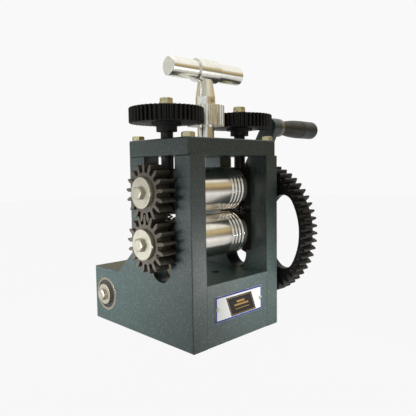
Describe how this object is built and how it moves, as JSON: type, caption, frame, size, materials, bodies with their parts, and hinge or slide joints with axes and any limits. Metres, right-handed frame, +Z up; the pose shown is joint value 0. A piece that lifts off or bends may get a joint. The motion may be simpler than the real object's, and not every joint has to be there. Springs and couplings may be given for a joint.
{
  "type": "jewellers rolling mill",
  "caption": "Hand cranked bench rolling mill: geared steel rolls in a plate housing, T-handle screw adjustment with spur gears, and a geared side crank.",
  "frame": {"origin": "centre of the four bench bolt holes, on the underside of the foot", "axes": "+X along the rolls to the crank side, +Y to the back, +Z up"},
  "size_m": [0.244, 0.1775, 0.2446],
  "materials": {
    "paint": "fine textured slate grey-green enamel",
    "zinc": "yellow zinc plate",
    "satin_steel": "satin turned steel",
    "plate_face": "printed anodised plate",
    "rivet": "domed rivet heads",
    "block_iron": "blackened iron",
    "bronze": "machined bronze",
    "spring_steel": "bright spring wire",
    "roll_steel": "ground and polished",
    "key_steel": "bright drawn steel",
    "gear_iron": "brown phosphated steel",
    "dark_gear": "blackened",
    "shaft_steel": "turned steel",
    "bearing_steel": "ground steel",
    "seal": "black bearing seal",
    "grip_plastic": "dark grey moulded plastic",
    "black_oxide": "black oxide",
    "nickel": "bright nickel plate"
  },
  "bodies": {
    "housing": {"left_side_plate": "paint", "right_side_plate": "paint", "front_panel": "paint", "floor_plate": "paint", "foot_cover": "paint", "rear_panel": "paint", "top_plate": "paint", "top_plate_bolts": "zinc", "name_plate": "plate_face", "name_plate_rivets": "rivet", "lower_block_left": "block_iron", "lower_block_right": "block_iron", "lower_bushes": "bronze", "block_springs": "spring_steel", "bearing_outer_rings": "bearing_steel", "bearing_balls": "bearing_steel", "bearing_seals": "seal", "idler_stud": "shaft_steel", "idler_clip": "black_oxide"},
    "lower_roll_train": {"lower_roll": "roll_steel", "lower_roll_keys": "key_steel", "lower_roll_gear": "gear_iron", "lower_gear_washer": "satin_steel", "lower_gear_bolt": "satin_steel", "big_gear": "dark_gear", "big_gear_washer": "satin_steel", "big_gear_bolt": "satin_steel"},
    "upper_carriage": {"upper_block_left": "block_iron", "upper_block_right": "block_iron", "upper_bushes": "bronze"},
    "upper_roll_train": {"upper_roll": "roll_steel", "upper_roll_key": "key_steel", "upper_roll_gear": "gear_iron", "upper_gear_washer": "satin_steel", "upper_gear_bolt": "satin_steel"},
    "idler": {"idler_gear": "dark_gear", "idler_bush": "bronze"},
    "crank": {"crank_shaft": "shaft_steel", "crank_keys": "key_steel", "crank_pinion": "dark_gear", "crank_end_washers": "satin_steel", "crank_end_bolts": "satin_steel", "bearing_inner_rings": "bearing_steel", "crank_arm": "paint", "grip_spindle": "shaft_steel"},
    "grip": {"crank_grip": "grip_plastic"},
    "t_handle": {"handle_stem": "nickel", "stem_clip": "black_oxide", "handle_pinion": "nickel", "pinion_grub_screw": "key_steel", "handle_sleeve": "nickel", "handle_bar": "nickel", "handle_pin": "key_steel"},
    "left_adjuster": {"left_screw": "black_oxide", "left_screw_gear": "black_oxide", "left_gear_bolt": "zinc"},
    "right_adjuster": {"right_screw": "black_oxide", "right_screw_gear": "black_oxide", "right_gear_bolt": "zinc"}
  },
  "joints": [
    {"name": "lower_roll_spin", "type": "hinge", "parent": "housing", "child": "lower_roll_train", "pos_m": [0, -0.0335, 0.087], "axis": [1, 0, 0], "continuous": true},
    {"name": "idler_spin", "type": "hinge", "parent": "housing", "child": "idler", "pos_m": [0, 0.01493, 0.02348], "axis": [1, 0, 0], "continuous": true},
    {"name": "crank_spin", "type": "hinge", "parent": "housing", "child": "crank", "pos_m": [0, 0.05299, 0.0272], "axis": [1, 0, 0], "continuous": true},
    {"name": "grip_spin", "type": "hinge", "parent": "crank", "child": "grip", "pos_m": [0.135, -0.03836, 0.18933], "axis": [1, 0, 0], "continuous": true},
    {"name": "t_handle_spin", "type": "hinge", "parent": "housing", "child": "t_handle", "pos_m": [0, -0.0335, 0.235], "axis": [0, 0, 1], "range_deg": [-485.34, 1383.9]},
    {"name": "carriage_slide", "type": "slide", "parent": "housing", "child": "upper_carriage", "axis": [0, 0, 1], "range_m": [-0.0014, 0.004], "deforming": ["block_springs"]},
    {"name": "upper_roll_spin", "type": "hinge", "parent": "upper_carriage", "child": "upper_roll_train", "pos_m": [0, -0.0335, 0.129], "axis": [1, 0, 0], "continuous": true},
    {"name": "left_screw_spin", "type": "hinge", "parent": "upper_carriage", "child": "left_adjuster", "pos_m": [-0.04562, -0.0335, 0.19], "axis": [0, 0, 1], "range_deg": [-722, 254]},
    {"name": "right_screw_spin", "type": "hinge", "parent": "upper_carriage", "child": "right_adjuster", "pos_m": [0.04562, -0.0335, 0.19], "axis": [0, 0, 1], "range_deg": [-722, 254]}
  ],
  "couplings": [
    {"joint": "upper_roll_spin", "follows": "lower_roll_spin", "ratio": -1},
    {"joint": "idler_spin", "follows": "lower_roll_spin", "ratio": -4.0714},
    {"joint": "crank_spin", "follows": "lower_roll_spin", "ratio": 2.85},
    {"joint": "t_handle_spin", "follows": "carriage_slide", "rad_per_m": 6031.9},
    {"joint": "left_screw_spin", "follows": "carriage_slide", "rad_per_m": -3141.6},
    {"joint": "right_screw_spin", "follows": "carriage_slide", "rad_per_m": -3141.6}
  ]
}
